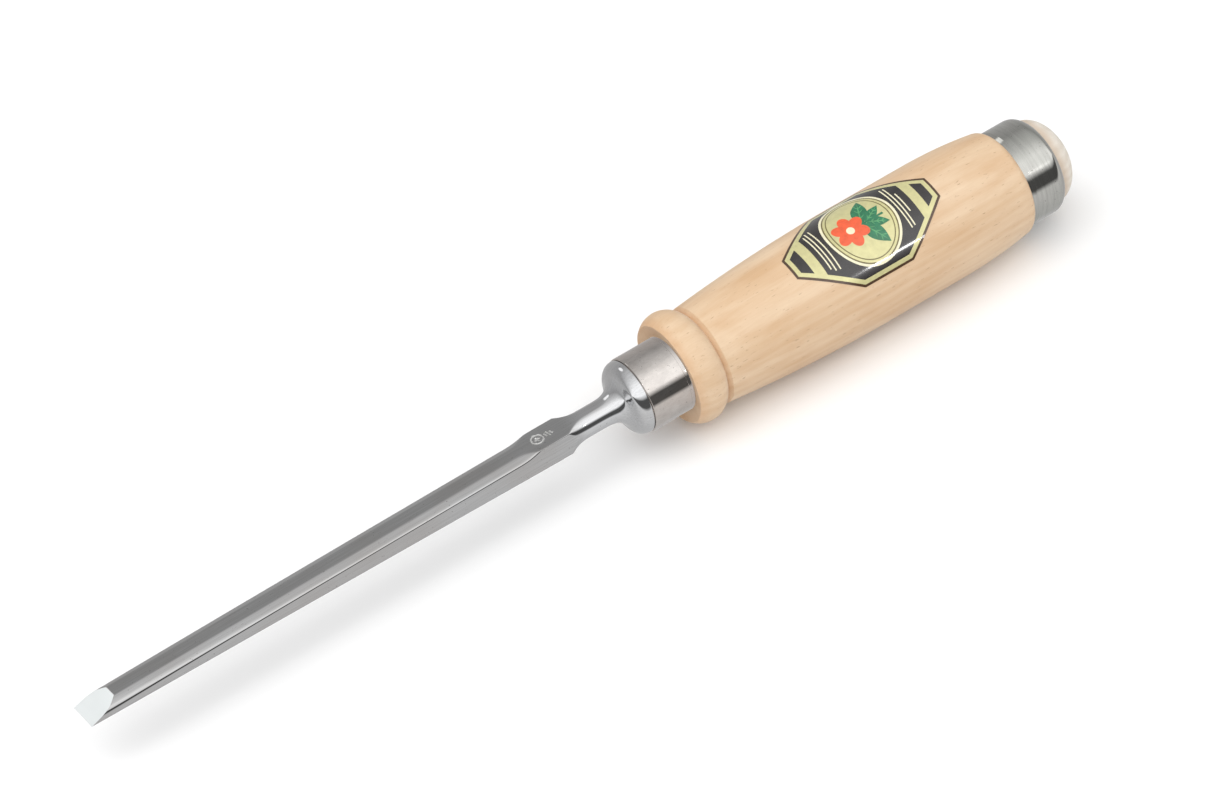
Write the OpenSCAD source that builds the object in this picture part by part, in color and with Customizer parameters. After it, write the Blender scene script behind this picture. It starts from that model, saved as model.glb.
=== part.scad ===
// Narrow bevel-edge bench chisel with a solid flat-backed blade.
// The tool axis is X: the cutting edge points to -X and the striking end to +X.
// The flat back of the blade faces -Z, its ground bevel faces +Z.
// The origin is on the tool axis, in the middle of the ferrule.

/* [Blade] */
// Width of the cutting edge
blade_w = 8; // [7:0.5:9]
// Length from the front of the ferrule to the cutting edge
reach = 146.5; // [120:0.5:170]
// Thickness of the bar at the cutting edge, as if the bevel were not ground
tip_t = 2.7; // [2.4:0.1:3.2]
// Thickness of the bar at the shoulder
shoulder_t = 5.6; // [5.2:0.1:5.8]
// Height of the bar's middle plane above the tool axis
bar_lift = 0.2; // [0:0.1:0.3]
// Lean of each side wall of the bar, in degrees
draft_a = 4.5; // [3:0.5:5]
// Angle of the ground bevel, in degrees
bevel_a = 20; // [20:1:30]
// Width of the flat left along the top of the bar
flat_w = 3.5; // [3:0.1:4.5]
// Fall of the long side chamfers, in degrees
chamfer_a = 22; // [18:1:26]
// Radius of the wheel that runs the side chamfers out
wheel_r = 18; // [12:1:24]
// Length of the unchamfered block in front of the shoulder
block_l = 13; // [11:0.5:16]

/* [Neck and bolster] */
// Diameter of the neck
neck_d = 6.6; // [6.2:0.1:7]
// Length of the neck, from the bolster's seat to the shoulder
neck_l = 19.6; // [17:0.2:24]
// Diameter of the bolster
bolster_d = 18.2; // [16:0.2:18.4]
// Radius of the bolster's rounded front
bolster_r = 3.1; // [2.5:0.1:3.5]
// Length of the tang inside the handle
tang_l = 58; // [45:1:70]

/* [Handle] */
// Length of the wooden handle, from the ferrule's front to the top of the dome
handle_l = 122; // [112:0.5:130]
// Largest diameter of the handle
belly_d = 29.4; // [28.4:0.2:31]
// Diameter of the bead behind the ferrule
bead_d = 27.8; // [27:0.2:28.4]
// Diameter at the bottom of the groove behind the bead
groove_d = 24.4; // [24:0.2:25.6]
// Height of the dome beyond the striking hoop
dome_h = 6.6; // [4:0.2:8]

/* [Ferrule and hoop] */
// Outer diameter of the ferrule
ferrule_d = 18.6; // [18.6:0.2:19.6]
// Length of the ferrule
ferrule_l = 11; // [10:0.5:14]
// Outer diameter of the striking hoop
hoop_d = 24.3; // [23.8:0.1:25]
// Length of the striking hoop
hoop_l = 9.8; // [8.6:0.2:12]

/* [Label] */
// Length of the label along the handle
label_l = 40.5; // [30:0.5:44]
// Width of the label, measured around the handle
label_w = 25.6; // [20:0.2:28]
// Turn of the label's middle from the top of the handle, in degrees
label_turn = 17; // [0:1:45]

/* [Hidden] */
$fn = 96;

// Stations along the tool axis
seat_x = -ferrule_l / 2;
edge_x = seat_x - reach;
shoulder_x = seat_x - neck_l;
groove_x = seat_x + 18.7;
dome_x = seat_x + handle_l;
hoop_end_x = dome_x - dome_h;
hoop_x = hoop_end_x - hoop_l;

// Bar of the blade: its faces close evenly on the middle plane towards the edge
bar_l = shoulder_x - edge_x;
taper = (shoulder_t - tip_t) / 2 / bar_l;
taper_a = atan(taper);
back_z = bar_lift - tip_t / 2;
top_z = bar_lift + tip_t / 2;
heel_l = tip_t / (tan(bevel_a) - taper);
room = 6;

// Shank: waist, neck and bolster
neck_r = neck_d / 2;
waist_l = 5.6;
waist_r = 10.3;
flats_l = 7.6;
flare_r = 4.8;
bolster_rim = 0.4;
tang_root = 6;
tang_point = 3.2;

// Handle
spigot_r = ferrule_d / 2 - 1;
butt_r = hoop_d / 2 - 1.6;
bead_x = seat_x + 14;
bead_r = 5.4;
dish = 0.8;
dish_r = 11.8;
belly_x = groove_x + 46;
belly_l = 21;
shoulder_r = 118;
rim_r = 2.2;
rim_l = 1.7;

// Ferrule, hoop and label
lip_r = 0.6;
hoop_lip_r = 3;
hoop_edge = 0.3;
foil = 0.12;
foil_gap = 0.01;
// The label sits a little behind the middle between groove and hoop
label_shift = 1.5;
label_x = (groove_x + hoop_x) / 2 + label_shift;
label_end_w = 6.2;
label_side_l = 13.6;

// Points on an arc round c, from angle a0 to angle a1
function arc(c, r, a0, a1, n = 12) =
    [for (i = [0:n]) let (a = a0 + (a1 - a0) * i / n) [c.x + r * cos(a), c.y + r * sin(a)]];

// Rise of a curve of radius r, at the distance d from where it is level
function sag(r, d) = r - sqrt(r * r - d * d);

// Radius of the circle that rises by h over the distance d
function arc_r(h, d) = (d * d + h * h) / (2 * h);

// Radius of the handle at x, from the groove to the end of the belly's level stretch
front_r = arc_r((belly_d - groove_d) / 2, belly_x - groove_x);
function body_r(x) = belly_d / 2 - sag(front_r, max(belly_x - x, 0));

// Turns a profile of [x, radius] points round the tool axis
module turned(points) {
    rotate([0, 90, 0])
        rotate_extrude()
            polygon([for (p = points) [p.y, p.x]]);
}

// Cuts an [x, z] outline through the tool from side to side
module side_cut(points) {
    rotate([90, 0, 0])
        linear_extrude(4 * room, center = true)
            polygon(points);
}

// Cuts an [x, y] outline through the tool from top to bottom
module plan_cut(points) {
    linear_extrude(4 * room, center = true)
        polygon(points);
}

// Channel with leaning walls: the bar is blade_w wide at its back's lowest point
module drafted_walls() {
    lean = tan(draft_a);
    low_w = blade_w / 2 + lean * (back_z + room);
    high_w = blade_w / 2 + lean * (back_z - room);
    translate([edge_x - room, 0, 0])
        rotate([90, 0, 90])
            linear_extrude(reach)
                polygon([[-low_w, -room], [low_w, -room], [high_w, room], [-high_w, room]]);
}

// One side chamfer and its run-out; side is 1 or -1
module chamfer_cut(side) {
    start = bar_l - block_l;
    translate([shoulder_x - block_l, side * flat_w / 2, top_z + taper * start])
        rotate([-side * chamfer_a, -taper_a, 0])
            rotate([90, 0, 0])
                linear_extrude(3 * blade_w, center = true)
                    union() {
                        translate([-start - room, 0])
                            square([start + room, room]);
                        translate([0, wheel_r])
                            circle(wheel_r);
                    }
}

module bar() {
    difference() {
        intersection() {
            side_cut([
                [edge_x, back_z],
                [shoulder_x, back_z - taper * bar_l],
                [shoulder_x, top_z + taper * bar_l],
                [edge_x + heel_l, top_z + taper * heel_l]
            ]);
            drafted_walls();
        }
        for (side = [-1, 1])
            intersection() {
                chamfer_cut(side);
                translate([edge_x - room, side > 0 ? 0 : -2 * room, -room])
                    cube([reach, 2 * room, 3 * room]);
            }
    }
}

// Flats that carry the bar's faces into the round neck
module shank_flats() {
    flats_x = shoulder_x + flats_l;
    low = back_z - taper * bar_l;
    high = top_z + taper * bar_l;
    root_w = blade_w / 2 + tan(draft_a) * (back_z - low);
    union() {
        intersection() {
            side_cut([[shoulder_x, low], [flats_x, -neck_r - 0.1], [flats_x, neck_r + 0.1], [shoulder_x, high]]);
            plan_cut([
                [shoulder_x, -root_w],
                [flats_x, -neck_r - 0.1],
                [flats_x, neck_r + 0.1],
                [shoulder_x, root_w]
            ]);
            drafted_walls();
        }
        translate([flats_x - 0.01, -3 * room, -3 * room])
            cube([neck_l, 6 * room, 6 * room]);
    }
}

// Waist, neck and bolster, turned in one piece
module shank() {
    waist_x = shoulder_x + waist_l;
    rim_x = seat_x - bolster_rim;
    ball = [rim_x, bolster_d / 2 - bolster_r];
    drop = neck_r + flare_r - ball.y;
    flare = [ball.x - sqrt(pow(bolster_r + flare_r, 2) - drop * drop), neck_r + flare_r];
    join_a = atan2(-drop, ball.x - flare.x);
    waist_a = asin(waist_l / waist_r);
    intersection() {
        turned(concat(
            [[shoulder_x, 0]],
            arc([waist_x, neck_r + waist_r], waist_r, -90 - waist_a, -90, 8),
            arc(flare, flare_r, -90, join_a, 8),
            arc(ball, bolster_r, 180 + join_a, 90, 10),
            [[seat_x, bolster_d / 2], [seat_x, 0]]
        ));
        shank_flats();
    }
}

// Square tang that narrows to its point
module tang() {
    root = tang_root / 2;
    point = tang_point / 2;
    outline = [
        [seat_x - 1, -root],
        [seat_x, -root],
        [seat_x + tang_l, -point],
        [seat_x + tang_l, point],
        [seat_x, root],
        [seat_x - 1, root]
    ];
    intersection() {
        side_cut(outline);
        plan_cut(outline);
    }
}

module blade() {
    color("silver")
        union() {
            bar();
            shank();
            tang();
        }
}

// Steel tube over the handle's front spigot, with a rounded lip at each end
module ferrule() {
    outer = ferrule_d / 2;
    back_x = seat_x + ferrule_l;
    color("gainsboro")
        turned(concat(
            [[seat_x, spigot_r]],
            arc([seat_x + lip_r, outer - lip_r], lip_r, 180, 90, 6),
            arc([back_x - lip_r, outer - lip_r], lip_r, 90, 0, 6),
            [[back_x, spigot_r]]
        ));
}

// Turned wooden handle: spigot, bead, groove, belly, rounded shoulder, butt and dome
module handle() {
    bead_c = [bead_x, bead_d / 2 - bead_r];
    front_x = seat_x + ferrule_l - dish;
    bead_a = acos((front_x - bead_x) / bead_r);
    groove_a = acos((groove_x - bead_x) / bead_r);
    level_x = belly_x + belly_l;
    rim_x = hoop_x - rim_l;
    rim_a = asin((rim_x - level_x) / shoulder_r);
    rim_c = [rim_x - rim_r * sin(rim_a), belly_d / 2 - sag(shoulder_r, rim_x - level_x) - rim_r * cos(rim_a)];
    steps = 16;
    color("burlywood")
        difference() {
            turned(concat(
                [[seat_x, 0], [seat_x, spigot_r], [front_x + dish, spigot_r]],
                [[front_x + dish, ferrule_d / 2], [front_x, dish_r]],
                arc(bead_c, bead_r, bead_a, groove_a, 16),
                [for (i = [1:steps]) let (x = groove_x + (belly_x - groove_x) * i / steps) [x, body_r(x)]],
                arc([level_x, belly_d / 2 - shoulder_r], shoulder_r, 90, 90 - rim_a, 8),
                arc(rim_c, rim_r, 90 - rim_a, acos((hoop_x - rim_c.x) / rim_r), 6),
                [[hoop_x, butt_r]],
                [for (i = [0:12]) let (a = 90 * i / 12) [hoop_end_x + dome_h * sin(a), butt_r * cos(a)]]
            ));
            tang();
        }
}

// Steel hoop over the butt: straight wall, rounded inwards at the striking end
module striking_hoop() {
    outer = hoop_d / 2;
    rear_edge = butt_r + hoop_edge;
    lip_c = [hoop_end_x - hoop_lip_r * sqrt(1 - pow(1 - (outer - rear_edge) / hoop_lip_r, 2)), outer - hoop_lip_r];
    lip_a = asin(1 - (outer - rear_edge) / hoop_lip_r);
    color("lightgray")
        turned(concat(
            [[hoop_x, butt_r], [hoop_x, outer - hoop_edge], [hoop_x + hoop_edge, outer]],
            arc(lip_c, hoop_lip_r, 90, lip_a, 8),
            [[hoop_end_x, butt_r]]
        ));
}

// Thin foil label bent round the belly, a long octagon
module label() {
    inner = foil_gap;
    outer = foil_gap + foil;
    half = label_l / 2;
    steps = 16;
    stations = [for (i = [0:steps]) label_x - half - 1 + (label_l + 2) * i / steps];
    // Half widths as seen from above, for lengths measured around the handle
    turn = 180 / PI / (belly_d / 2);
    side_y = belly_d / 2 * sin(turn * label_w / 2);
    end_y = belly_d / 2 * sin(turn * label_end_w / 2);
    color("black")
        rotate([label_turn, 0, 0])
            intersection() {
                turned(concat(
                    [for (x = stations) [x, body_r(x) + outer]],
                    [for (i = [steps:-1:0]) [stations[i], body_r(stations[i]) + inner]]
                ));
                translate([label_x, 0, 0])
                    linear_extrude(belly_d)
                        polygon([
                            [-half, -end_y],
                            [-label_side_l / 2, -side_y],
                            [label_side_l / 2, -side_y],
                            [half, -end_y],
                            [half, end_y],
                            [label_side_l / 2, side_y],
                            [-label_side_l / 2, side_y],
                            [-half, end_y]
                        ]);
            }
}

blade();
ferrule();
handle();
striking_hoop();
label();
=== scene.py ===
"""Bevel-edge bench chisel: ground blade, bright ferrule, pale wooden handle, striking hoop, foil label.

Shapes are worked out in millimetres round the tool axis X and turned into metres when a mesh is made.
"""

import math

import bmesh
import bpy
import numpy as np
from mathutils import Matrix, Vector


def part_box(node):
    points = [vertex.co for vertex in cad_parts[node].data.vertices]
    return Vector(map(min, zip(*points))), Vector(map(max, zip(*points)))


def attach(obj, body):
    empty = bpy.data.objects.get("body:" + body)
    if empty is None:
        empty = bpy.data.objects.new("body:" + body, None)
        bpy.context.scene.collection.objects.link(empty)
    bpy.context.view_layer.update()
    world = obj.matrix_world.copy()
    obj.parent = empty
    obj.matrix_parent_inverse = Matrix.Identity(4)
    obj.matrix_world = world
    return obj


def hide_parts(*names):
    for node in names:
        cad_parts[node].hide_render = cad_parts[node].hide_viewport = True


MM = 0.001
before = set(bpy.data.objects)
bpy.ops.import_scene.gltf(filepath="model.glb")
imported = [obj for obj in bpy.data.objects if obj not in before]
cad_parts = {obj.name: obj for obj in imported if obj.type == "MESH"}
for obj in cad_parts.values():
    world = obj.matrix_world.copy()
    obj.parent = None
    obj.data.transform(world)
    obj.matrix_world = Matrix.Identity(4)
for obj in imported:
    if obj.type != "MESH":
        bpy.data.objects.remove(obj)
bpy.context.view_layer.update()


def span(node):
    """Lowest and highest corner of a CAD node, in millimetres."""
    low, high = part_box(node)
    return [v / MM for v in low], [v / MM for v in high]


# ---------------------------------------------------------------- stations, from the CAD nodes
blade_low, blade_high = span("blade")
ferrule_low, ferrule_high = span("ferrule")
handle_low, handle_high = span("handle")
hoop_low, hoop_high = span("striking_hoop")
label_low, label_high = span("label")

EDGE_X = blade_low[0]
SEAT_X, FERRULE_END_X, FERRULE_R = ferrule_low[0], ferrule_high[0], ferrule_high[1]
HOOP_X, HOOP_END_X, HOOP_R = hoop_low[0], hoop_high[0], hoop_high[1]
DOME_X, BELLY_R = handle_high[0], handle_high[1]

# Blade
SHOULDER_X = SEAT_X - 19.6
BLADE_W = 8.0
TIP_T, SHOULDER_T, BAR_LIFT = 2.7, 5.6, 0.2
DRAFT = math.tan(math.radians(4.5))
BEVEL_A = math.radians(20)
CHAMFER_A = math.radians(22)
FLAT_W, BLOCK_L = 3.5, 13.0
EDGE_LAND = 0.03
TAPER = (SHOULDER_T - TIP_T) / 2 / (SHOULDER_X - EDGE_X)
BACK_Z, TOP_Z = BAR_LIFT - TIP_T / 2, BAR_LIFT + TIP_T / 2
NECK_R, WAIST_L, WAIST_RISE, FLATS_L, FLARE_R = 3.3, 6.4, 1.66, 14.0, 4.8
BOLSTER_R, BALL_R, BOLSTER_RIM = 9.1, 3.1, 0.4

# Handle
SPIGOT_R = FERRULE_R - 1
GROOVE_X, GROOVE_R = SEAT_X + 18.7, 12.2
BEAD_X, BEAD_R, BEAD_TOP = SEAT_X + 14, 5.4, 13.9
DISH, DISH_R = 0.8, 11.8
BELLY_X, BELLY_L = GROOVE_X + 46, 21
SHOULDER_R, RIM_R, RIM_L = 118, 2.2, 1.7
BUTT_R = HOOP_R - 1.6
FRONT_R = ((BELLY_R - GROOVE_R) ** 2 + 46 ** 2) / 2 / (BELLY_R - GROOVE_R)

# Label
LABEL_X = (label_low[0] + label_high[0]) / 2
LABEL_HALF = (label_high[0] - label_low[0]) / 2
LABEL_TURN = math.radians(17)
LABEL_W, LABEL_SIDE, LABEL_END = 25.6, 13.6, 6.2


# ---------------------------------------------------------------- shape helpers
def sag(r, d):
    return r - math.sqrt(r * r - d * d)


def body_r(x):
    """Radius of the handle's front taper and level belly at x."""
    return BELLY_R - sag(FRONT_R, max(BELLY_X - x, 0))


def arc(cx, cy, r, a0, a1, n):
    """Points [x, radius, fillet] on an arc, in degrees; they need no fillet of their own."""
    steps = [math.radians(a0 + (a1 - a0) * i / n) for i in range(n + 1)]
    return [(cx + r * math.cos(a), cy + r * math.sin(a), 0) for a in steps]


def filleted(points, n=6):
    """Rounds each corner of an open outline of (x, radius, fillet radius) points."""
    out = []
    for i, (x, y, f) in enumerate(points):
        if not f or i in (0, len(points) - 1):
            out.append((x, y))
            continue
        here = Vector((x, y))
        before = Vector(points[i - 1][:2]) - here
        after = Vector(points[i + 1][:2]) - here
        half = before.angle(after) / 2
        reach = min(f / math.tan(half), before.length * 0.45, after.length * 0.45)
        start = here + before.normalized() * reach
        end = here + after.normalized() * reach
        for k in range(n + 1):
            t = k / n
            out.append(tuple((1 - t) ** 2 * start + 2 * t * (1 - t) * here + t * t * end))
    return out


def new_object(name, bm, materials, sharp=30):
    """Links a finished bmesh, given in millimetres, as a smooth-shaded object with crisp edges."""
    bmesh.ops.remove_doubles(bm, verts=bm.verts, dist=1e-6)
    bmesh.ops.recalc_face_normals(bm, faces=bm.faces)
    bmesh.ops.scale(bm, vec=(MM, MM, MM), verts=bm.verts)
    mesh = bpy.data.meshes.new(name)
    bm.to_mesh(mesh)
    bm.free()
    for m in materials:
        mesh.materials.append(m)
    mesh.shade_smooth()
    mesh.set_sharp_from_angle(angle=math.radians(sharp))
    obj = bpy.data.objects.new(name, mesh)
    bpy.context.scene.collection.objects.link(obj)
    normals = obj.modifiers.new("face_weighted_normals", "WEIGHTED_NORMAL")
    normals.keep_sharp = True
    normals.weight = 60
    return obj


def turned(name, outline, materials, segments=256):
    """A body turned round the tool axis: a solid if its outline starts and ends there, otherwise a ring."""
    bm = bmesh.new()
    rings = []
    for x, r in outline:
        if r < 1e-6:
            rings.append([bm.verts.new((x, 0, 0))])
            continue
        angles = [2 * math.pi * k / segments for k in range(segments)]
        rings.append([bm.verts.new((x, -r * math.sin(a), r * math.cos(a))) for a in angles])
    pairs = list(zip(rings, rings[1:]))
    if len(rings[0]) > 1:
        pairs.append((rings[-1], rings[0]))
    for one, two in pairs:
        for k in range(segments):
            j = (k + 1) % segments
            if len(one) == 1 and len(two) == 1:
                break
            if len(one) == 1:
                bm.faces.new((one[0], two[k], two[j]))
            elif len(two) == 1:
                bm.faces.new((one[k], two[0], one[j]))
            else:
                bm.faces.new((one[k], two[k], two[j], one[j]))
    return new_object(name, bm, materials)


# ---------------------------------------------------------------- material helpers
def srgb(r, g, b):
    """Linear colour from 0-255 display values."""
    def lin(v):
        v /= 255
        return v / 12.92 if v <= 0.04045 else ((v + 0.055) / 1.055) ** 2.4
    return (lin(r), lin(g), lin(b), 1.0)


class Look:
    """A material's node tree with short calls for the nodes used here."""

    def __init__(self, name):
        self.material = bpy.data.materials.new(name)
        self.material.use_nodes = True
        self.tree = self.material.node_tree
        self.shader = self.tree.nodes["Principled BSDF"]
        self.place = self.add("ShaderNodeTexCoord").outputs["Object"]

    def add(self, kind, **settings):
        n = self.tree.nodes.new(kind)
        for key, value in settings.items():
            setattr(n, key, value)
        return n

    def plug(self, value, socket):
        if isinstance(value, bpy.types.NodeSocket):
            self.tree.links.new(value, socket)
        else:
            socket.default_value = value

    def set(self, **values):
        for key, value in values.items():
            self.plug(value, self.shader.inputs[key.replace("_", " ")])

    def math(self, operation, a, b=0.0, c=0.0, clamp=False):
        n = self.add("ShaderNodeMath", operation=operation, use_clamp=clamp)
        for value, socket in zip((a, b, c), n.inputs):
            self.plug(value, socket)
        return n.outputs[0]

    def axes(self):
        n = self.add("ShaderNodeSeparateXYZ")
        self.plug(self.place, n.inputs[0])
        return n.outputs

    def noise(self, scale, detail=3.0, rough=0.5, offset=(0.0, 0.0, 0.0), distortion=0.0):
        """Noise with its own scale along each axis, in features per metre."""
        m = self.add("ShaderNodeMapping")
        self.plug(self.place, m.inputs["Vector"])
        m.inputs["Scale"].default_value = scale
        m.inputs["Location"].default_value = offset
        n = self.add("ShaderNodeTexNoise")
        self.plug(m.outputs[0], n.inputs["Vector"])
        n.inputs["Scale"].default_value = 1.0
        n.inputs["Detail"].default_value = detail
        n.inputs["Roughness"].default_value = rough
        n.inputs["Distortion"].default_value = distortion
        return n.outputs["Fac"]

    def fit(self, value, a, b, c, d, smooth=False):
        n = self.add("ShaderNodeMapRange", interpolation_type="SMOOTHSTEP" if smooth else "LINEAR")
        for v, socket in zip((value, a, b, c, d), n.inputs):
            self.plug(v, socket)
        return n.outputs[0]

    def mix(self, factor, a, b, blend="MIX"):
        n = self.add("ShaderNodeMix", data_type="RGBA", blend_type=blend)
        self.plug(factor, n.inputs["Factor"])
        self.plug(a, n.inputs[6])
        self.plug(b, n.inputs[7])
        return n.outputs[2]

    def bump(self, height, distance, strength=1.0, under=None):
        n = self.add("ShaderNodeBump")
        self.plug(height, n.inputs["Height"])
        n.inputs["Distance"].default_value = distance
        n.inputs["Strength"].default_value = strength
        if under is not None:
            self.plug(under, n.inputs["Normal"])
        return n.outputs[0]

    def near(self, value, centre, width):
        """1 at centre, falling smoothly to 0 at that distance."""
        away = self.math("ABSOLUTE", self.math("SUBTRACT", value, centre))
        return self.fit(away, 0.0, width, 1.0, 0.0, smooth=True)


# ---------------------------------------------------------------- wood
def wood_look():
    w = Look("oiled_hornbeam")
    x, y, z = w.axes()
    # Growth rings round a pith outside the handle, seen as long faint lines
    wobble = w.noise((9, 60, 60), 3.0, 0.55)
    dy = w.math("ADD", y, 0.021)
    dz = w.math("ADD", z, 0.034)
    radius = w.math("SQRT", w.math("ADD", w.math("MULTIPLY", dy, dy), w.math("MULTIPLY", dz, dz)))
    phase = w.math("ADD", w.math("MULTIPLY", radius, 2300.0), w.math("MULTIPLY", wobble, 30.0))
    rings = w.fit(w.math("SINE", phase), -1.0, 1.0, 0.0, 1.0)
    streaks = w.noise((26, 330, 330), 4.0, 0.62, distortion=0.4)
    fibres = w.noise((70, 3200, 3200), 3.0, 0.6, (0.3, 0.1, 0.7))
    cloud = w.noise((48, 110, 110), 3.0, 0.55, (4.0, 1.0, 2.0), distortion=0.6)
    pores = w.fit(w.noise((520, 3000, 3000), 2.0, 0.5, (2.0, 5.0, 1.0)), 0.67, 0.75, 0.0, 1.0)
    shade = w.math("ADD", w.math("MULTIPLY", rings, 0.10), w.math("MULTIPLY", streaks, 0.55))
    shade = w.math("ADD", shade, w.math("MULTIPLY", cloud, 0.70))
    shade = w.fit(shade, 0.42, 0.94, 0.0, 1.0)
    colour = w.mix(shade, srgb(209, 173, 134), srgb(228, 203, 172))
    colour = w.mix(w.fit(fibres, 0.35, 0.65, 0.0, 0.08), colour, srgb(176, 128, 88))
    colour = w.mix(w.math("MULTIPLY", pores, 0.50), colour, srgb(140, 92, 58))
    # Darker, warmer wood in the groove, behind the ferrule and at the hoop: partly dirt, partly painted shade in
    # these creases and joins
    dirt_and_crease_shade = w.math("MAXIMUM", w.near(x, GROOVE_X * MM, 1.1 * MM), w.near(x, (FERRULE_END_X - 0.6) * MM, 2.2 * MM))
    dirt_and_crease_shade = w.math("MAXIMUM", dirt_and_crease_shade, w.near(x, HOOP_X * MM, 1.0 * MM))
    colour = w.mix(w.math("MULTIPLY", dirt_and_crease_shade, 0.24), colour, srgb(206, 148, 96))
    # The dome is end grain: paler, less yellow, speckled, with faint rings, and darker towards its rim by the hoop
    dome = w.fit(x, (HOOP_END_X - 0.4) * MM, (HOOP_END_X + 0.2) * MM, 0.0, 1.0)
    ends = w.noise((900, 900, 900), 4.0, 0.7, (1.0, 2.0, 3.0))
    end_shade = w.math("ADD", w.math("MULTIPLY", rings, 0.35), w.math("MULTIPLY", ends, 0.65))
    end_colour = w.mix(end_shade, srgb(208, 196, 180), srgb(232, 226, 216))
    rim = w.fit(x, (HOOP_END_X + 0.1) * MM, (HOOP_END_X + 2.6) * MM, 0.55, 0.0, smooth=True)
    end_colour = w.mix(rim, end_colour, srgb(190, 164, 138))
    colour = w.mix(dome, colour, end_colour)
    rough = w.math("ADD", 0.40, w.math("MULTIPLY", streaks, 0.16))
    rough = w.math("ADD", rough, w.math("MULTIPLY", dome, 0.14))
    grain = w.math("ADD", w.math("MULTIPLY", fibres, 0.6), w.math("MULTIPLY", streaks, 0.8))
    grain = w.math("SUBTRACT", grain, pores)
    normal = w.bump(grain, 0.00003, 0.6)
    w.set(Base_Color=colour, Roughness=rough, Normal=normal, Coat_Weight=0.12, Coat_Roughness=0.28)
    return w.material


# ---------------------------------------------------------------- steel
def steel_look(name, tint, rough, scale, depth, spots=0.0, patina=None, swing=0.12, dark=0.80,
               polish_and_sheen_from=None):
    """Bare steel with scratches that run the way it was ground; scale is features per metre on each axis."""
    s = Look(name)
    fine = s.noise(scale, 4.0, 0.65)
    coarse = s.noise(tuple(v * 0.22 for v in scale), 2.0, 0.5, (3.0, 7.0, 5.0))
    cloud = s.noise((60, 90, 90), 3.0, 0.55, (1.0, 4.0, 2.0))
    base = srgb(*tint)
    dim = tuple(v * dark for v in base[:3]) + (1.0,)
    colour = s.mix(s.fit(fine, 0.3, 0.7, 0.0, 1.0), dim, base)
    if patina:
        colour = s.mix(s.fit(cloud, 0.42, 0.72, 0.0, 0.55), colour, srgb(*patina))
    if spots:
        marks = s.fit(s.noise((1500, 2600, 2600), 2.0, 0.5, (8.0, 3.0, 1.0)), 0.69, 0.75, 0.0, spots)
        colour = s.mix(marks, colour, srgb(60, 50, 44))
    if polish_and_sheen_from is not None:
        # Brighter behind this station: partly the turned shank's polish, partly a painted brightening of its
        # reflections
        polish_and_sheen = s.fit(s.axes()[0], (polish_and_sheen_from + 0.5) * MM, (polish_and_sheen_from + 6.5) * MM, 0.0, 1.0, smooth=True)
        colour = s.mix(polish_and_sheen, colour, (1.27, 1.28, 1.30, 1.0), blend="MULTIPLY")
    roughness = s.math("ADD", rough, s.math("MULTIPLY", s.math("SUBTRACT", fine, 0.5), swing))
    roughness = s.math("ADD", roughness, s.math("MULTIPLY", s.math("SUBTRACT", cloud, 0.5), swing * 0.8), clamp=True)
    waves = s.bump(coarse, depth * 2.2, 0.5)
    s.set(Base_Color=colour, Metallic=1.0, Roughness=roughness, Normal=s.bump(fine, depth, 0.6, waves))
    return s


# ---------------------------------------------------------------- label prints
def print_look(name, tint, metallic, rough, variation=0.10, coat=1.0):
    """Printed foil under gloss varnish, with a faint mottle and rubbed speckles."""
    p = Look(name)
    mottle = p.noise((700, 700, 700), 3.0, 0.6)
    soft = p.noise((110, 110, 110), 2.0, 0.5, (5.0, 2.0, 8.0))
    base = srgb(*tint)
    low = tuple(v * (1 - variation * 2) for v in base[:3]) + (1.0,)
    high = tuple(min(v * (1 + variation) + 0.004, 1) for v in base[:3]) + (1.0,)
    colour = p.mix(p.fit(mottle, 0.3, 0.7, 0.0, 1.0), low, high)
    rubbed = p.fit(p.noise((2600, 2600, 2600), 2.0, 0.5, (9.0, 9.0, 1.0)), 0.72, 0.78, 0.0, 0.30)
    colour = p.mix(rubbed, colour, srgb(150, 140, 110))
    roughness = p.math("ADD", rough, p.math("MULTIPLY", p.math("SUBTRACT", soft, 0.5), 0.16), clamp=True)
    p.set(Base_Color=colour, Metallic=metallic, Roughness=roughness, Coat_Weight=coat, Coat_Roughness=0.05)
    p.set(Normal=p.bump(mottle, 0.000004, 0.5))
    return p.material


# ---------------------------------------------------------------- blade
def smallest(radii, n):
    """Smooth minimum of polar distances: large n keeps corners tight."""
    stack = np.array([np.maximum(r, 1e-3) for r in radii])
    return np.sum(stack ** -n, axis=0) ** (-1 / n)


def plane_r(theta, ny, nz, d):
    """Polar distance from the axis to the line ny*y + nz*z = d."""
    along = np.cos(theta) * ny + np.sin(theta) * nz
    return np.where(along > 1e-6, d / np.maximum(along, 1e-6), 1e3)


def bar_planes(x):
    """Polar distances of the bar's back, top, walls and chamfers at x, as functions of the angle."""
    run = x - EDGE_X
    back = BACK_Z - TAPER * run
    top = TOP_Z + TAPER * run
    lean = math.atan(DRAFT)
    wall = (BLADE_W / 2 + DRAFT * BACK_Z) * math.cos(lean)
    rise = 0.69 * (max(x - (SHOULDER_X - BLOCK_L) + 0.6, 0) / 5.6) ** 2.6
    chamfer = top * math.cos(CHAMFER_A) + FLAT_W / 2 * math.sin(CHAMFER_A) + rise
    return back, top, wall, lean, chamfer


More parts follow.
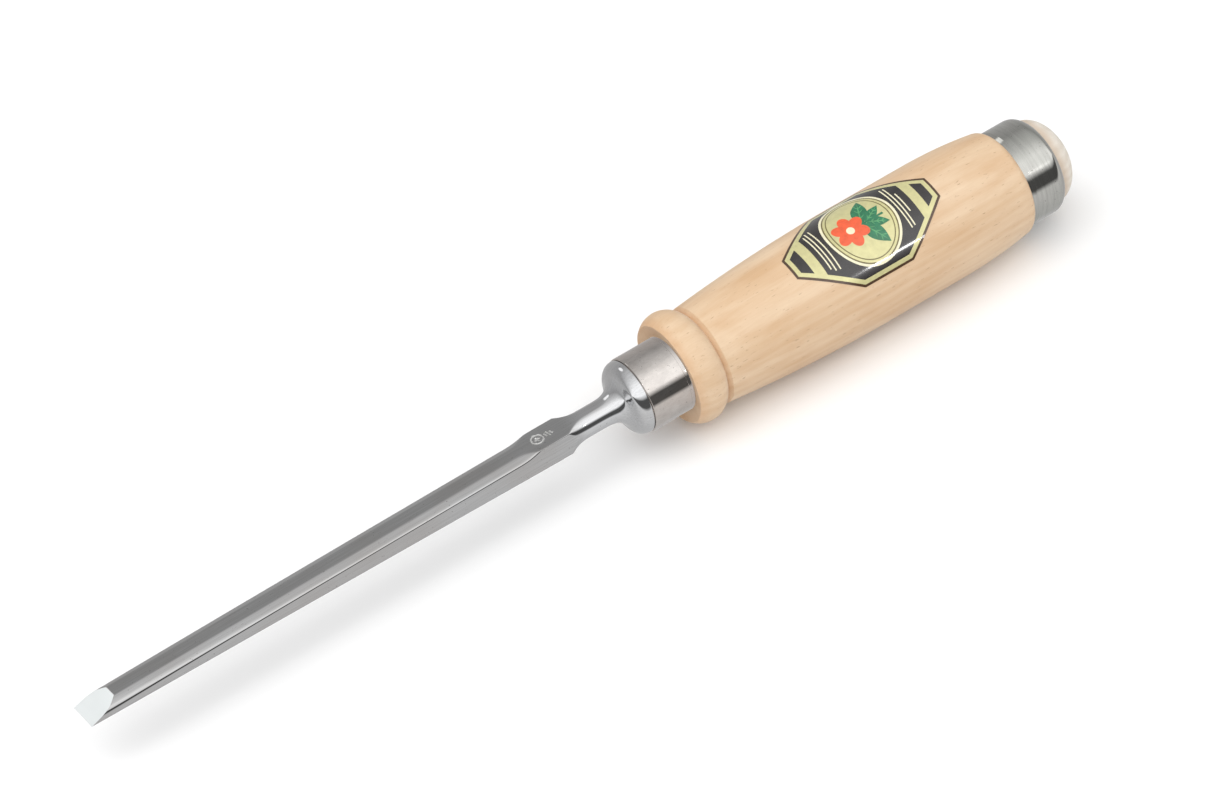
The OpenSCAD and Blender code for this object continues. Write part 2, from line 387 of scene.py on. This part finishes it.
def section(x, circle_r):
    """Outline of the blade at x as polar distances for a dense ring of angles."""
    theta = np.linspace(-math.pi / 2, math.pi / 2, 1441)
    flats_x = SHOULDER_X + FLATS_L
    if x <= SHOULDER_X:
        back, top, wall, lean, chamfer = bar_planes(x)
        side = smallest([plane_r(theta, math.cos(lean), math.sin(lean), wall),
                         plane_r(theta, math.sin(CHAMFER_A), math.cos(CHAMFER_A), chamfer)],
                        7 + 15 * min(max((x - EDGE_X - 8) / 70, 0), 1))
        sheet = [side, plane_r(theta, 0, 1, top), plane_r(theta, 0, -1, -back)]
        block = min(max((x - (SHOULDER_X - BLOCK_L)) / BLOCK_L, 0), 1)
        return theta, smallest(sheet + [np.full_like(theta, 4.86)] * (block > 0.8), 62 - 12 * block)
    if x >= flats_x:
        return theta, np.full_like(theta, circle_r)
    t = (x - SHOULDER_X) / FLATS_L
    back, top, wall, lean, _ = bar_planes(SHOULDER_X)
    low = back - 1.3 * min(t * 2, 1) ** 2
    high = top + TAPER * (x - SHOULDER_X)
    if x > SHOULDER_X + WAIST_L:
        high += 1.6 * (circle_r - NECK_R)
        wall += 0.15 * (x - SHOULDER_X - WAIST_L)
    sheet = [plane_r(theta, math.cos(lean), math.sin(lean), wall), plane_r(theta, 0, 1, high),
             plane_r(theta, 0, -1, -low), np.full_like(theta, circle_r)]
    return theta, smallest(sheet, 50 + 60 * t)


def ring_of(x, circle_r, count=72):
    """Half an outline, resampled so that corners get most of the points, then mirrored."""
    theta, r = section(x, circle_r)
    y, z = r * np.cos(theta), r * np.sin(theta)
    step = np.hypot(np.diff(y), np.diff(z))
    heading = np.unwrap(np.arctan2(np.diff(z), np.diff(y)))
    turn = np.abs(np.gradient(heading))
    weight = step / step.sum() + 1.8 * turn / turn.sum()
    total = np.concatenate([[0], np.cumsum(weight)])
    want = np.linspace(0, total[-1], count)
    ys, zs = np.interp(want, total, y), np.interp(want, total, z)
    ys[0] = ys[-1] = 0
    right = [(x, -a, b) for a, b in zip(ys, zs)]
    left = [(x, a, b) for a, b in zip(ys[-2:0:-1], zs[-2:0:-1])]
    return right + left


def shank_profile():
    """[x, radius] of the turned waist, neck, flare and bolster."""
    waist_x = SHOULDER_X + WAIST_L
    rim_x = SEAT_X - BOLSTER_RIM
    ball_y = BOLSTER_R - BALL_R
    drop = NECK_R + FLARE_R - ball_y
    flare_x = rim_x - math.sqrt((BALL_R + FLARE_R) ** 2 - drop * drop)
    join = math.degrees(math.atan2(-drop, rim_x - flare_x))
    points = []
    for i in range(1, 19):
        points.append((SHOULDER_X + WAIST_L * i / 18, NECK_R + WAIST_RISE * (1 - i / 18) ** 2.6))
    # The flare eases out of the neck before it turns on its full radius
    ease = math.radians(35)
    knee = (flare_x + FLARE_R * math.sin(ease), NECK_R + FLARE_R * (1 - math.cos(ease)))
    ends = (flare_x - 2.4, flare_x - 0.3, knee[0] - (knee[1] - NECK_R) / math.tan(ease))
    points += [(waist_x + (ends[0] - waist_x) * i / 4, NECK_R) for i in range(1, 4)]
    for i in range(17):
        t, u = i / 16, 1 - i / 16
        along = u ** 3 * ends[0] + 3 * u * u * t * ends[1] + 3 * u * t * t * ends[2] + t ** 3 * knee[0]
        points.append((along, NECK_R + t ** 3 * (knee[1] - NECK_R)))
    points += [p[:2] for p in arc(flare_x, NECK_R + FLARE_R, FLARE_R, -55, join, 16)][1:]
    points += [p[:2] for p in arc(rim_x, ball_y, BALL_R, 180 + join, 90, 26)][1:]
    points += [(SEAT_X - 0.26, BOLSTER_R), (SEAT_X - 0.18, BOLSTER_R - 0.07), (SEAT_X - 0.03, BOLSTER_R - 0.16)]
    return points


def stamp_cutters():
    """Closed prisms for a shallow generic mark in the block's top: a ring round a cross, and three bars."""
    bm = bmesh.new()
    middle = SHOULDER_X - 4.4
    top = TOP_Z + TAPER * (middle - EDGE_X)
    bars = [(-1.5, 0.0, 0.34, 1.6, 0.0), (-1.5, 0.0, 0.34, 1.6, 90.0), (1.45, 0.0, 0.34, 1.9, 0.0),
            (2.2, 0.0, 0.34, 1.2, 0.0), (0.70, 0.0, 0.34, 1.2, 0.0)]
    for cx, cy, lx, ly, deg in bars:
        made = bmesh.ops.create_cube(bm, size=1)["verts"]
        bmesh.ops.scale(bm, vec=(lx, ly, 0.5), verts=made)
        bmesh.ops.rotate(bm, verts=made, cent=(0, 0, 0), matrix=Matrix.Rotation(math.radians(deg + 12), 3, "Z"))
        bmesh.ops.translate(bm, vec=(middle + cx, cy, top + 0.15), verts=made)
    n = 40
    loops = []
    for r, z in ((1.62, -0.1), (1.62, 0.4), (1.28, 0.4), (1.28, -0.1)):
        angles = [2 * math.pi * (k + 0.5) / n for k in range(n)]
        loops.append([bm.verts.new((middle - 1.5 + r * math.cos(a), r * math.sin(a), top + z)) for a in angles])
    for one, two in zip(loops, loops[1:] + loops[:1]):
        for k in range(n):
            j = (k + 1) % n
            bm.faces.new((one[k], one[j], two[j], two[k]))
    bmesh.ops.recalc_face_normals(bm, faces=bm.faces)
    return bm


def make_blade(steel, ground, struck):
    bm = bmesh.new()
    stations = list(np.linspace(EDGE_X, EDGE_X + 9, 25))
    stations += list(np.linspace(EDGE_X + 9, SHOULDER_X - BLOCK_L - 1, 66))[1:]
    stations += list(np.linspace(SHOULDER_X - BLOCK_L - 1, SHOULDER_X - BLOCK_L + 5.6, 34))[1:]
    stations += list(np.linspace(SHOULDER_X - BLOCK_L + 5.6, SHOULDER_X, 20))[1:]
    outline = [(x, 1e3) for x in stations] + shank_profile()
    rings = [[bm.verts.new(p) for p in ring_of(x, r)] for x, r in outline]
    count = len(rings[0])
    for one, two in zip(rings, rings[1:]):
        for k in range(count):
            j = (k + 1) % count
            bm.faces.new((one[k], one[j], two[j], two[k]))
    bm.faces.new(rings[0])
    bm.faces.new(rings[-1])
    # The ground bevel, from a hair above the back at the edge up to the heel
    normal = Vector((-math.sin(BEVEL_A), 0, math.cos(BEVEL_A)))
    cut = bmesh.ops.bisect_plane(
        bm, geom=bm.verts[:] + bm.edges[:] + bm.faces[:], dist=1e-5,
        plane_co=(EDGE_X, 0, BACK_Z + EDGE_LAND), plane_no=normal, clear_outer=True)
    rim = [e for e in cut["geom_cut"] if isinstance(e, bmesh.types.BMEdge)]
    face = bmesh.ops.contextual_create(bm, geom=rim)["faces"]
    for f in face:
        f.material_index = 1
    obj = new_object("blade", bm, [steel, ground, struck], sharp=24)
    # Strike the mark
    cutter_mesh = bpy.data.meshes.new("stamp_cutter")
    cutter = stamp_cutters()
    bmesh.ops.scale(cutter, vec=(MM, MM, MM), verts=cutter.verts)
    cutter.to_mesh(cutter_mesh)
    cutter.free()
    for m in (struck,):
        cutter_mesh.materials.append(m)
    tool = bpy.data.objects.new("stamp_cutter", cutter_mesh)
    bpy.context.scene.collection.objects.link(tool)
    strike = obj.modifiers.new("strike", "BOOLEAN")
    strike.object = tool
    strike.operation = "DIFFERENCE"
    strike.solver = "EXACT"
    strike.use_self = True
    strike.material_mode = "TRANSFER"
    obj.modifiers.move(1, 0)
    shape = bpy.data.meshes.new_from_object(obj.evaluated_get(bpy.context.evaluated_depsgraph_get()))
    obj.modifiers.clear()
    obj.data = shape
    shape.name = "blade"
    shape.set_sharp_from_angle(angle=math.radians(24))
    normals = obj.modifiers.new("face_weighted_normals", "WEIGHTED_NORMAL")
    normals.keep_sharp = True
    normals.weight = 60
    bpy.data.objects.remove(tool)
    return obj


# ---------------------------------------------------------------- handle, ferrule and hoop
def handle_outline():
    front_x = FERRULE_END_X - DISH
    bead_y = BEAD_TOP - BEAD_R
    bead_a = math.degrees(math.acos((front_x - BEAD_X) / BEAD_R))
    groove_a = math.degrees(math.acos((GROOVE_X - BEAD_X) / BEAD_R))
    level_x = BELLY_X + BELLY_L
    rim_x = HOOP_X - RIM_L
    rim_a = math.asin((rim_x - level_x) / SHOULDER_R)
    rim_cx = rim_x - RIM_R * math.sin(rim_a)
    rim_cy = BELLY_R - sag(SHOULDER_R, rim_x - level_x) - RIM_R * math.cos(rim_a)
    rim_deg = math.degrees(rim_a)
    pts = [(SEAT_X + 0.4, 0, 0), (SEAT_X + 0.4, SPIGOT_R - 0.05, 0), (FERRULE_END_X + 0.05, SPIGOT_R - 0.05, 0)]
    pts += [(FERRULE_END_X + 0.05, FERRULE_R + 0.15, 0.2)]
    bead = arc(BEAD_X, bead_y, BEAD_R, bead_a, groove_a, 48)
    bead[0] = bead[0][:2] + (0.25,)
    bead[-1] = bead[-1][:2] + (0.35,)
    pts += bead
    pts += [(x, body_r(x), 0) for x in np.linspace(GROOVE_X, BELLY_X, 60)[1:]]
    pts += [(BELLY_X + BELLY_L * i / 10, BELLY_R, 0) for i in range(1, 10)]
    pts += arc(level_x, BELLY_R - SHOULDER_R, SHOULDER_R, 90, 90 - rim_deg, 30)
    end_a = math.degrees(math.acos((HOOP_X - 0.06 - rim_cx) / RIM_R))
    pts += arc(rim_cx, rim_cy, RIM_R, 90 - rim_deg, end_a, 14)[1:]
    pts += [(HOOP_X - 0.06, BUTT_R - 0.02, 0)]
    pts += [(HOOP_END_X - 0.5, BUTT_R - 0.02, 0)]
    height = DOME_X - HOOP_END_X
    for i in range(33):
        a = math.pi / 2 * i / 32
        pts.append((HOOP_END_X + height * math.sin(a), (BUTT_R - 0.02) * math.cos(a) if i < 32 else 0, 0))
    return filleted(pts)


def ferrule_outline():
    """Drawn steel tube with rolled lips and a fine line ahead of the rear lip."""
    inner, outer = SPIGOT_R, FERRULE_R
    line = FERRULE_END_X - 0.95
    return filleted([
        (SEAT_X + 0.3, inner, 0),
        (SEAT_X + 0.06, inner + 0.25, 0.1),
        (SEAT_X + 0.06, outer, 0.75),
        (line - 0.08, outer, 0.05),
        (line, outer - 0.05, 0.03),
        (line + 0.08, outer, 0.05),
        (FERRULE_END_X, outer, 0.28),
        (FERRULE_END_X, inner, 0),
    ], n=8)


def hoop_outline():
    """Straight wall with a narrow bevel at the front and a broad rounding at the striking end."""
    rear = BUTT_R + 0.3
    rise = 1 - (HOOP_R - rear) / 3
    lip_a = math.degrees(math.asin(rise))
    cx = HOOP_END_X - 3 * math.cos(math.radians(lip_a)) - 0.12
    pts = [(HOOP_X + 0.08, BUTT_R, 0), (HOOP_X + 0.08, HOOP_R - 0.42, 0.12), (HOOP_X + 1.15, HOOP_R, 0.10)]
    pts += arc(cx, HOOP_R - 3, 3, 90, lip_a, 20)
    pts += [(HOOP_END_X - 0.02, rear - 0.08, 0.06), (HOOP_END_X - 0.35, BUTT_R + 0.02, 0)]
    return filleted(pts)


# ---------------------------------------------------------------- label
def octagon(half, side_half, width_half, end_half):
    return [(-half, -end_half), (-side_half, -width_half), (side_half, -width_half), (half, -end_half),
            (half, end_half), (side_half, width_half), (-side_half, width_half), (-half, end_half)]


def inset(points, d):
    """A convex counterclockwise outline moved in by d."""
    out = []
    n = len(points)
    for i in range(n):
        a, b, c = (Vector(points[(i + k) % n]) for k in (-1, 0, 1))
        u, v = (b - a).normalized(), (c - b).normalized()
        nu, nv = Vector((-u.y, u.x)), Vector((-v.y, v.x))
        out.append(tuple(b + (nu + nv) * (d / (1 + nu.dot(nv)))))
    return out


def ellipse(cx, cy, rx, ry, n=96, turn=0.0):
    out = []
    for i in range(n):
        a = 2 * math.pi * i / n
        px, py = rx * math.cos(a), ry * math.sin(a)
        out.append((cx + px * math.cos(turn) - py * math.sin(turn), cy + px * math.sin(turn) + py * math.cos(turn)))
    return out


def leaf(cx, cy, length, width, turn, n=20):
    """Lens shape with its root at cx, cy."""
    side = [(length * i / n, width / 2 * math.sin(math.pi * (i / n) ** 0.85)) for i in range(n + 1)]
    pts = [(px, -py) for px, py in side] + [(px, py) for px, py in side[-2:0:-1]]
    c, s = math.cos(turn), math.sin(turn)
    return [(cx + px * c - py * s, cy + px * s + py * c) for px, py in pts]


def strip(x0, x1, y0, y1):
    return [(x0, y0), (x1, y0), (x1, y1), (x0, y1)]


def clip(points, keep):
    """The part of a convex outline where keep(point) is positive, for a straight border."""
    out = []
    for i, p in enumerate(points):
        q = points[(i + 1) % len(points)]
        a, b = keep(p), keep(q)
        if a >= 0:
            out.append(p)
        if a * b < 0:
            t = a / (a - b)
            out.append((p[0] + (q[0] - p[0]) * t, p[1] + (q[1] - p[1]) * t))
    return out


def make_label(materials, order):
    """Foil and print as thin closed layers, each bent round the belly and a little proud of the one below."""
    brown, gold, black, cream, red, green, shade, vein = range(len(order))
    whole = octagon(LABEL_HALF, LABEL_SIDE / 2, LABEL_W / 2, LABEL_END / 2)
    layers = [(whole, brown, 0.080), (inset(whole, 0.60), gold, 0.092)]
    field = inset(whole, 1.65)
    layers.append((clip(clip(field, lambda p: p[0] + 13.6), lambda p: 13.9 - p[0]), black, 0.102))
    layers.append((clip(inset(whole, 1.65), lambda p: -16.1 - p[0]), black, 0.102))
    layers.append((clip(inset(whole, 1.65), lambda p: p[0] - 16.3), black, 0.102))
    # Plain rules where the print runs across
    for s, half in ((-12.2, 5.6), (-11.3, 6.4), (-10.2, 6.6), (10.1, 6.6), (11.0, 6.4), (12.0, 3.0)):
        layers.append((strip(s - 0.16, s + 0.16, 0.4 - half, 0.4 + half), cream, 0.110))
    # Medallion with a plain flower
    mx, my = 0.1, 0.5
    for rx, ry, kind, top in ((9.15, 10.6, cream, 0.112), (8.55, 10.0, shade, 0.118), (8.22, 9.67, gold, 0.124),
                              (7.62, 9.07, shade, 0.130), (7.36, 8.81, gold, 0.136)):
        layers.append((ellipse(mx, my, rx, ry), kind, top))
    bloom = (-2.7, 0.5)
    layers.append((strip(bloom[0], 6.4, my - 0.28, my + 0.28), green, 0.142))
    leaves = ((0.4, 7.8, 3.9, 63), (0.4, 7.8, 3.9, -63), (1.6, 5.6, 2.6, 27), (1.6, 5.6, 2.6, -27))
    for root, length, width, turn in leaves:
        axis = math.radians(turn)
        layers.append((leaf(root, my, length, width, axis), green, 0.146 if root < 1 else 0.149))
        # Veins
        rib_x, rib_y = root + 0.3 * math.cos(axis), my + 0.3 * math.sin(axis)
        layers.append((leaf(rib_x, rib_y, length * 0.9, 0.30, axis), vein, 0.1505))
        for share, lean in ((0.22, 42), (0.22, -42), (0.45, 42), (0.45, -42), (0.65, 42), (0.65, -42)):
            px = root + share * length * math.cos(axis)
            py = my + share * length * math.sin(axis)
            layers.append((leaf(px, py, width * 0.42, 0.22, axis + math.radians(lean), 6), vein, 0.1505))
    for k in range(6):
        a = math.radians(60 * k + 30)
        cx, cy = bloom[0] + 2.45 * math.cos(a), bloom[1] + 2.45 * math.sin(a)
        layers.append((ellipse(cx, cy, 2.05, 1.5, 28, a), red, 0.152 + 0.0015 * (k % 2)))
    layers.append((ellipse(bloom[0], bloom[1], 1.0, 1.0, 28), cream, 0.158))

    bm = bmesh.new()
    for number, (points, kind, top) in enumerate(layers):
        # No two layers share a height, so none of their faces or points coincide
        top += number * 0.00002
        part = bmesh.new()
        part.faces.new([part.verts.new((px, py, 0)) for px, py in points])
        xs, ys = [p[0] for p in points], [p[1] for p in points]
        for axis, low, high, pitch in ((0, min(xs), max(xs), 2.5), (1, min(ys), max(ys), 0.5)):
            at = math.ceil(low / pitch) * pitch
            while at < high - 1e-6:
                co, no = [0, 0, 0], [0, 0, 0]
                co[axis], no[axis] = at, 1
                bmesh.ops.bisect_plane(part, geom=part.verts[:] + part.edges[:] + part.faces[:], dist=1e-6,
                                       plane_co=co, plane_no=no)
                at += pitch
        flat = [f for f in part.faces]
        extruded = bmesh.ops.extrude_face_region(part, geom=flat, use_keep_orig=True)
        lifted = [v for v in extruded["geom"] if isinstance(v, bmesh.types.BMVert)]
        for v in lifted:
            v.co.z = 1
        bottom = 0.012 if number == 0 else top - 0.0173
        for v in part.verts:
            s, t, up = v.co
            x = LABEL_X + s
            r = body_r(x) + (top if up > 0.5 else bottom)
            a = LABEL_TURN - t / BELLY_R
            v.co = (x, -r * math.sin(a), r * math.cos(a))
        for f in part.faces:
            f.material_index = kind
        mesh = bpy.data.meshes.new("layer")
        bmesh.ops.recalc_face_normals(part, faces=part.faces)
        part.to_mesh(mesh)
        part.free()
        bm.from_mesh(mesh)
        bpy.data.meshes.remove(mesh)
    return new_object("label", bm, materials)


# ---------------------------------------------------------------- build
wood = wood_look()
blade_steel = steel_look("blade_steel", (200, 200, 200), 0.075, (50, 2600, 2600), 0.0000005, spots=0.35,
                         patina=(184, 180, 177), swing=0.06, dark=0.86, polish_and_sheen_from=SHOULDER_X).material
# The bevel's steel is tinted lighter than the blade's, a painted brightening of its reflection; its higher roughness
# is the ground finish
bevel_steel = steel_look("bevel_steel", (227, 231, 231), 0.17, (2600, 120, 2600), 0.0000005, dark=0.93).material
stamp_steel = steel_look("stamp_steel", (246, 246, 244), 0.55, (900, 900, 900), 0.000004).material
ferrule_chrome = steel_look("ferrule_nickel", (222, 216, 211), 0.07, (300, 500, 500), 0.0000008, spots=0.45,
                            patina=(200, 182, 170), swing=0.07).material
hoop_steel = steel_look("hoop_steel", (204, 203, 198), 0.11, (1500, 90, 90), 0.0000008, spots=0.55,
                        patina=(176, 180, 172), swing=0.09).material
PRINTS = {
    "brown": print_look("print_brown", (74, 48, 24), 0.0, 0.35),
    "gold": print_look("print_gold", (214, 208, 152), 0.25, 0.32, 0.05),
    "black": print_look("print_black", (36, 32, 32), 0.0, 0.14),
    "cream": print_look("print_cream", (236, 230, 196), 0.0, 0.30, 0.04),
    "red": print_look("print_red", (236, 92, 46), 0.0, 0.28, 0.08),
    "green": print_look("print_green", (28, 118, 78), 0.0, 0.28, 0.14),
    "shade": print_look("print_shade", (104, 92, 40), 0.0, 0.30),
    "vein": print_look("print_vein", (84, 160, 104), 0.0, 0.30),
}

blade = make_blade(blade_steel, bevel_steel, stamp_steel)
ferrule = turned("ferrule", ferrule_outline(), [ferrule_chrome])
handle = turned("handle", handle_outline(), [wood])
striking_hoop = turned("striking_hoop", hoop_outline(), [hoop_steel])
label = make_label(list(PRINTS.values()), list(PRINTS))

# The wood's own warm tone is kept out of the ferrule's and the hoop's mirror images
handle.visible_glossy = False
for piece, node, finish in (
    (blade, "blade", "blade_steel"), (ferrule, "ferrule", "ferrule_steel"), (handle, "handle", "handle_wood"),
    (striking_hoop, "striking_hoop", "hoop_steel"), (label, "label", "label_foil"),
):
    piece.name = node + "_finished"
    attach(piece, "root")
    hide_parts(node)

# ---------------------------------------------------------------- floor
def make_floor():
    bm = bmesh.new()
    bmesh.ops.create_circle(bm, cap_ends=True, radius=9, segments=96)
    bmesh.ops.translate(bm, vec=(0, 0, -(BELLY_R + 0.05) * MM), verts=bm.verts)
    mesh = bpy.data.meshes.new("floor")
    bm.to_mesh(mesh)
    bm.free()
    f = Look("floor_paper")
    tone = f.noise((14, 14, 14), 3.0, 0.5)
    f.set(Base_Color=f.mix(tone, (0.925, 0.925, 0.925, 1), (0.94, 0.94, 0.94, 1)), Roughness=0.9)
    mesh.materials.append(f.material)
    floor = bpy.data.objects.new("floor", mesh)
    bpy.context.scene.collection.objects.link(floor)
    return floor


floor = make_floor()
floor.visible_glossy = False


# ---------------------------------------------------------------- view
VIEW_ROLL = math.radians(46)
VIEW_YAW = math.radians(19.6)
VIEW_TILT = math.radians(30)
DISTANCE = 1.258
AXIS = Vector((1, 0, 0))
FACE = Vector((0, -math.sin(VIEW_ROLL), math.cos(VIEW_ROLL)))
DOWN = Vector((0, -math.cos(VIEW_ROLL), -math.sin(VIEW_ROLL)))
ALONG = AXIS * math.cos(VIEW_YAW) + FACE * math.sin(VIEW_YAW)
BACK = FACE * math.cos(VIEW_YAW) - AXIS * math.sin(VIEW_YAW)

# ---------------------------------------------------------------- light
# Plain studio ring round the tool axis, as degrees above the front horizon and brightness: a pale table,
# a dark gap at the horizon, a front softbox, and a ceiling that dims towards the back
STUDIO_RING = [(-180, 0.5), (-90, 0.6), (-20, 0.8), (-10, 0.1), (15, 0.1), (30, 1.3), (60, 1.3), (90, 0.8),
               (135, 0.4), (180, 0.5)]
# Round softbox that the ground bevel mirrors: its brightness, and how far its core and its soft edge reach
SOFTBOX_LEVEL, SOFTBOX_CORE, SOFTBOX_EDGE = 1.35, 0.11, 0.19
BACKDROP_LEVEL = 0.95


def bevel_mirror():
    """Direction that the ground bevel mirrors towards the photograph's camera."""
    normal = Vector((-math.sin(BEVEL_A), 0, math.cos(BEVEL_A)))
    return 2 * normal.dot(BACK) * normal - BACK


def studio():
    """World with the studio ring and the round softbox, and a plain pale backdrop for the camera."""
    world = bpy.data.worlds.new("studio")
    bpy.context.scene.world = world
    world.use_nodes = True
    tree = world.node_tree
    tree.nodes.clear()

    def add(kind, **settings):
        node = tree.nodes.new(kind)
        for key, value in settings.items():
            setattr(node, key, value)
        return node

    def fit(value, low, high, smooth=False):
        """Map low to high onto 0 to 1."""
        node = add("ShaderNodeMapRange", interpolation_type="SMOOTHSTEP" if smooth else "LINEAR")
        tree.links.new(value, node.inputs[0])
        node.inputs[1].default_value = low
        node.inputs[2].default_value = high
        return node.outputs[0]

    def background(level):
        node = add("ShaderNodeBackground")
        node.inputs[0].default_value = (level, level, level, 1)
        return node

    direction = add("ShaderNodeTexCoord").outputs["Generated"]
    axes = add("ShaderNodeSeparateXYZ")
    tree.links.new(direction, axes.inputs[0])
    front = add("ShaderNodeMath", operation="MULTIPLY")
    tree.links.new(axes.outputs[1], front.inputs[0])
    front.inputs[1].default_value = -1
    angle = add("ShaderNodeMath", operation="ARCTAN2")
    tree.links.new(axes.outputs[2], angle.inputs[0])
    tree.links.new(front.outputs[0], angle.inputs[1])

    ring = add("ShaderNodeValToRGB")
    tree.links.new(fit(angle.outputs[0], -math.pi, math.pi), ring.inputs[0])
    brightest = max(level for degrees, level in STUDIO_RING)
    # A new ramp already has its two end stops
    stops = [STUDIO_RING[0], STUDIO_RING[-1]] + STUDIO_RING[1:-1]
    for number, (degrees, level) in enumerate(stops):
        place = (degrees + 180) / 360
        stop = ring.color_ramp.elements[number] if number < 2 else ring.color_ramp.elements.new(place)
        stop.position = place
        stop.color = (level / brightest, level / brightest, level / brightest, 1)
    surround = add("ShaderNodeBackground")
    tree.links.new(ring.outputs[0], surround.inputs[0])
    surround.inputs[1].default_value = brightest

    away = add("ShaderNodeVectorMath", operation="DISTANCE")
    tree.links.new(direction, away.inputs[0])
    away.inputs[1].default_value = bevel_mirror()
    lit = add("ShaderNodeMixShader")
    tree.links.new(fit(away.outputs["Value"], SOFTBOX_EDGE, SOFTBOX_CORE, smooth=True), lit.inputs[0])
    tree.links.new(surround.outputs[0], lit.inputs[1])
    tree.links.new(background(SOFTBOX_LEVEL).outputs[0], lit.inputs[2])

    seen = add("ShaderNodeLightPath")
    choose = add("ShaderNodeMixShader")
    tree.links.new(seen.outputs["Is Camera Ray"], choose.inputs[0])
    tree.links.new(lit.outputs[0], choose.inputs[1])
    tree.links.new(background(BACKDROP_LEVEL).outputs[0], choose.inputs[2])
    out = add("ShaderNodeOutputWorld")
    tree.links.new(choose.outputs[0], out.inputs[0])


def lamp(name, place, size_x, size_y, watts, glossy=True):
    """Area light at place, aimed at the tool's middle with its long side along X."""
    data = bpy.data.lights.new(name, "AREA")
    data.shape = "RECTANGLE"
    data.size, data.size_y = size_x, size_y
    data.energy = watts
    obj = bpy.data.objects.new(name, data)
    back = Vector(place).normalized()
    side = (Vector((1, 0, 0)) - back * back.x).normalized()
    up = back.cross(side)
    obj.matrix_world = Matrix((side, up, back)).transposed().to_4x4()
    obj.location = place
    obj.visible_camera = False
    obj.visible_glossy = glossy
    bpy.context.scene.collection.objects.link(obj)


studio()
lamp("catchlight", (0.54, -1.02, 0.60), 0.06, 0.07, 0.34)
lamp("overhead_fill", (-0.1, -0.5, 1.6), 2.6, 2.6, 11, glossy=False)
lamp("rear_fill", (-0.8, 0.5, 1.3), 1.6, 1.6, 8, glossy=False)

# ---------------------------------------------------------------- camera


def make_camera():
    right = ALONG * math.cos(VIEW_TILT) + DOWN * math.sin(VIEW_TILT)
    up = ALONG * math.sin(VIEW_TILT) - DOWN * math.cos(VIEW_TILT)
    target = AXIS * (SEAT_X - 6.34) * MM
    data = bpy.data.cameras.new("camera")
    data.sensor_width = 36
    data.lens = 165.7
    data.clip_start, data.clip_end = 0.05, 60
    data.dof.use_dof = False
    camera = bpy.data.objects.new("camera", data)
    camera.matrix_world = Matrix((right, up, BACK)).transposed().to_4x4()
    camera.location = target + BACK * DISTANCE - DOWN * 1.02 * MM
    bpy.context.scene.collection.objects.link(camera)
    bpy.context.scene.camera = camera


make_camera()
bpy.context.scene.view_settings.view_transform = "Standard"
bpy.context.scene.view_settings.look = "None"
bpy.context.scene.view_settings.exposure = 0.0
